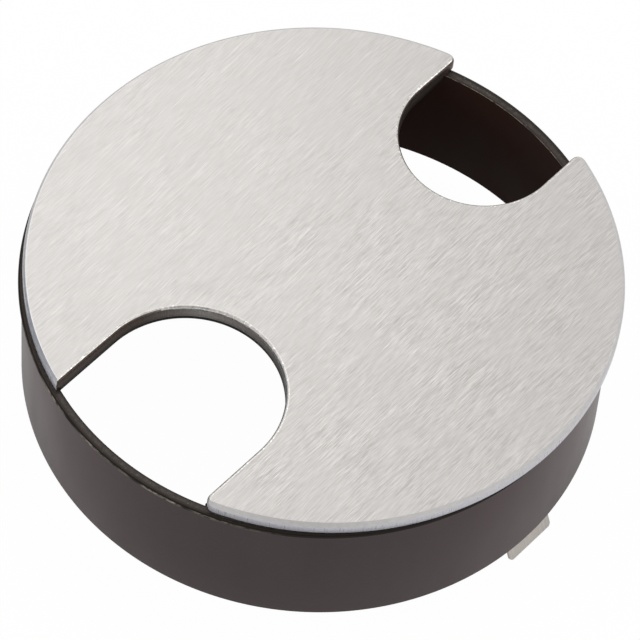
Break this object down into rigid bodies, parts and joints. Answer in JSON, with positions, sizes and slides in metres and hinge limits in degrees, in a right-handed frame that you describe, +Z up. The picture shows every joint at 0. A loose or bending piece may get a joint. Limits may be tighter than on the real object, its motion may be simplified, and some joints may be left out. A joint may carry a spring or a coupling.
{
  "type": "desk cable grommet",
  "caption": "Round desk cable grommet: thin dark ring with a small lip for a hole in a desk top, a brushed steel cover that has a large and a small cable cut-out, and a dark base plate with spring clips beneath.",
  "frame": {"origin": "on the ring's axis, level with the top of the ring's lip, which lies on the desk's surface", "axes": "+Z up out of the desk, +X towards the smaller cable cut-out, clips at -Y and +Y"},
  "size_m": [0.081, 0.0812, 0.026],
  "materials": {
    "dark_ring": "satin dark brown-black, smooth",
    "brushed_cover": "fine straight brushing along the cut-outs' axis",
    "dark_base": "dark brown-grey, matt",
    "spring_steel": "plain rolled strip, satin"
  },
  "bodies": {
    "root": {"ring": "dark_ring", "cover_plate": "brushed_cover", "base_plate": "dark_base", "near_clip": "spring_steel", "far_clip": "spring_steel"}
  },
  "joints": []
}
